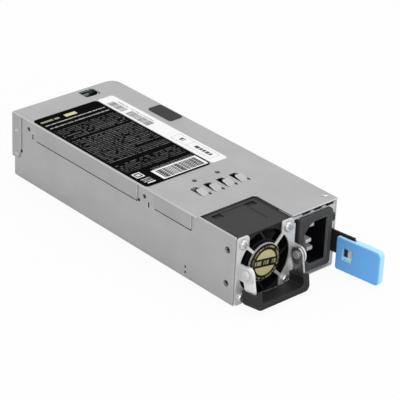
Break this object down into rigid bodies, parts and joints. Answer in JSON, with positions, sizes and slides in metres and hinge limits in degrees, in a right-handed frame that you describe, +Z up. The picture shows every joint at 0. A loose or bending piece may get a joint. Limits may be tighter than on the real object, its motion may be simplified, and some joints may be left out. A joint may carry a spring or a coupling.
{
  "type": "hot swap server power supply",
  "caption": "Slim sheet metal power supply module with a fan, a mains inlet, a folding handle, a sprung release latch and a rear card edge.",
  "frame": {"origin": "middle of the bottom face of the case, halfway along its 185 mm body", "axes": "+X to the right seen from the handle end, +Y to the rear card edge, +Z up through the lid"},
  "size_m": [0.0774, 0.227, 0.0415],
  "materials": {
    "case_steel": "satin zinc plated sheet",
    "bright_steel": "bright plated",
    "fan_plastic": "moulded, glass filled",
    "rotor_plastic": "moulded",
    "inlet_plastic": "moulded",
    "grip_plastic": "moulded, satin",
    "tab_blue": "moulded, semi gloss",
    "badge": "printed, glossy",
    "lamp": "clear light pipe",
    "nickel": "nickel plated",
    "gold": "gold plated",
    "copper": "enamelled copper",
    "circuit_board": "green solder mask",
    "film": "thin insulating film",
    "can_sleeve": "shrink sleeve",
    "ferrite": "matt ferrite",
    "heatsink": "extruded",
    "package": "moulded package",
    "yellow_box": "moulded box",
    "fuse_glass": "tube with metal caps",
    "label_black": "printed film",
    "label_white": "printed film",
    "patch": "thin pad"
  },
  "bodies": {
    "supply": {"chassis_tray": "case_steel", "top_lid": "case_steel", "rear_panel": "case_steel", "front_panel": "case_steel", "case_rivets": "bright_steel", "fan_guard": "bright_steel", "guard_badge": "badge", "fan_frame": "fan_plastic", "fan_stator": "copper", "fan_screws": "bright_steel", "inlet_housing": "inlet_plastic", "inlet_pins": "nickel", "inlet_board": "circuit_board", "status_lamp": "lamp", "handle_rivets": "bright_steel", "latch_rivets": "bright_steel", "rating_label": "label_black", "strip_label": "label_white", "lid_patch": "patch", "main_board": "circuit_board", "insulation_sheet": "film", "board_standoffs": "nickel", "board_screws": "bright_steel", "bulk_capacitors": "can_sleeve", "pfc_choke_core": "ferrite", "pfc_choke_winding": "copper", "filter_choke_core": "ferrite", "filter_choke_windings": "copper", "x_capacitor": "yellow_box", "line_fuse": "fuse_glass", "primary_heatsink": "heatsink", "secondary_heatsink": "heatsink", "power_switches": "package", "transformer_core": "ferrite", "transformer_winding": "copper", "output_capacitors": "can_sleeve", "control_board": "circuit_board", "output_card": "circuit_board", "card_contacts": "gold", "output_busbars": "copper", "fan_lead": "grip_plastic", "fan_plug": "film"},
    "impeller": {"fan_rotor": "rotor_plastic"},
    "handle": {"handle_arm_left": "bright_steel", "handle_arm_right": "bright_steel", "handle_grip": "grip_plastic"},
    "latch": {"latch_spring": "bright_steel", "latch_tab": "tab_blue"}
  },
  "joints": [
    {"name": "impeller_spin", "type": "hinge", "parent": "supply", "child": "impeller", "pos_m": [-0.01565, -0.08, 0.02], "axis": [0, 1, 0], "continuous": true},
    {"name": "handle_fold", "type": "hinge", "parent": "supply", "child": "handle", "pos_m": [-0.01375, -0.0983, 0.02], "axis": [-1, 0, 0], "range_deg": [0, 82]},
    {"name": "latch_press", "type": "hinge", "parent": "supply", "child": "latch", "pos_m": [0.03415, -0.0555, 0.0159], "axis": [0, 0, -1], "range_deg": [0, 2.8], "stiffness_Nm_per_rad": 4, "springref_deg": -2.86}
  ]
}
